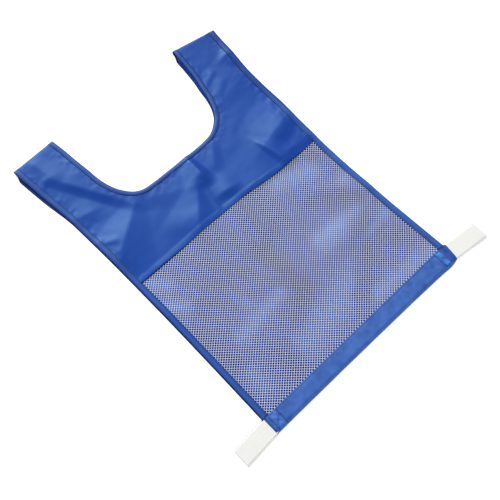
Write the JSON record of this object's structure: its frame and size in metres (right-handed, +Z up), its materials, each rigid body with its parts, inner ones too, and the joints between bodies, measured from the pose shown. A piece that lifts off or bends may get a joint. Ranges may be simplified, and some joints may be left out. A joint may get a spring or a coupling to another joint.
{
  "type": "mesh training bib",
  "caption": "Junior training bib laid flat: satin back and yoke, open net front, bound edges, turned hem and a loop of flat elastic at each side.",
  "frame": {"origin": "centre of the footprint on the surface that the bib lies on", "axes": "+X across the bib to the wearer's left, +Y from the hem to the shoulder folds, +Z up from the surface"},
  "size_m": [0.4886, 0.5769, 0.0103],
  "materials": {
    "satin": "royal blue polyester satin, soft sheen",
    "satin_binding": "royal blue satin strip, turned and topstitched",
    "net_yarn": "white polyester warp-knit net, 3 mm holes",
    "elastic": "white woven elastic, ribbed, matt"
  },
  "bodies": {
    "root": {"back_panel": "satin", "front_yoke": "satin", "front_net": "net_yarn", "front_hem": "satin_binding", "side_binding_left": "satin_binding", "side_binding_right": "satin_binding", "neck_binding": "satin_binding", "elastic_left": "elastic", "elastic_right": "elastic"}
  },
  "joints": []
}
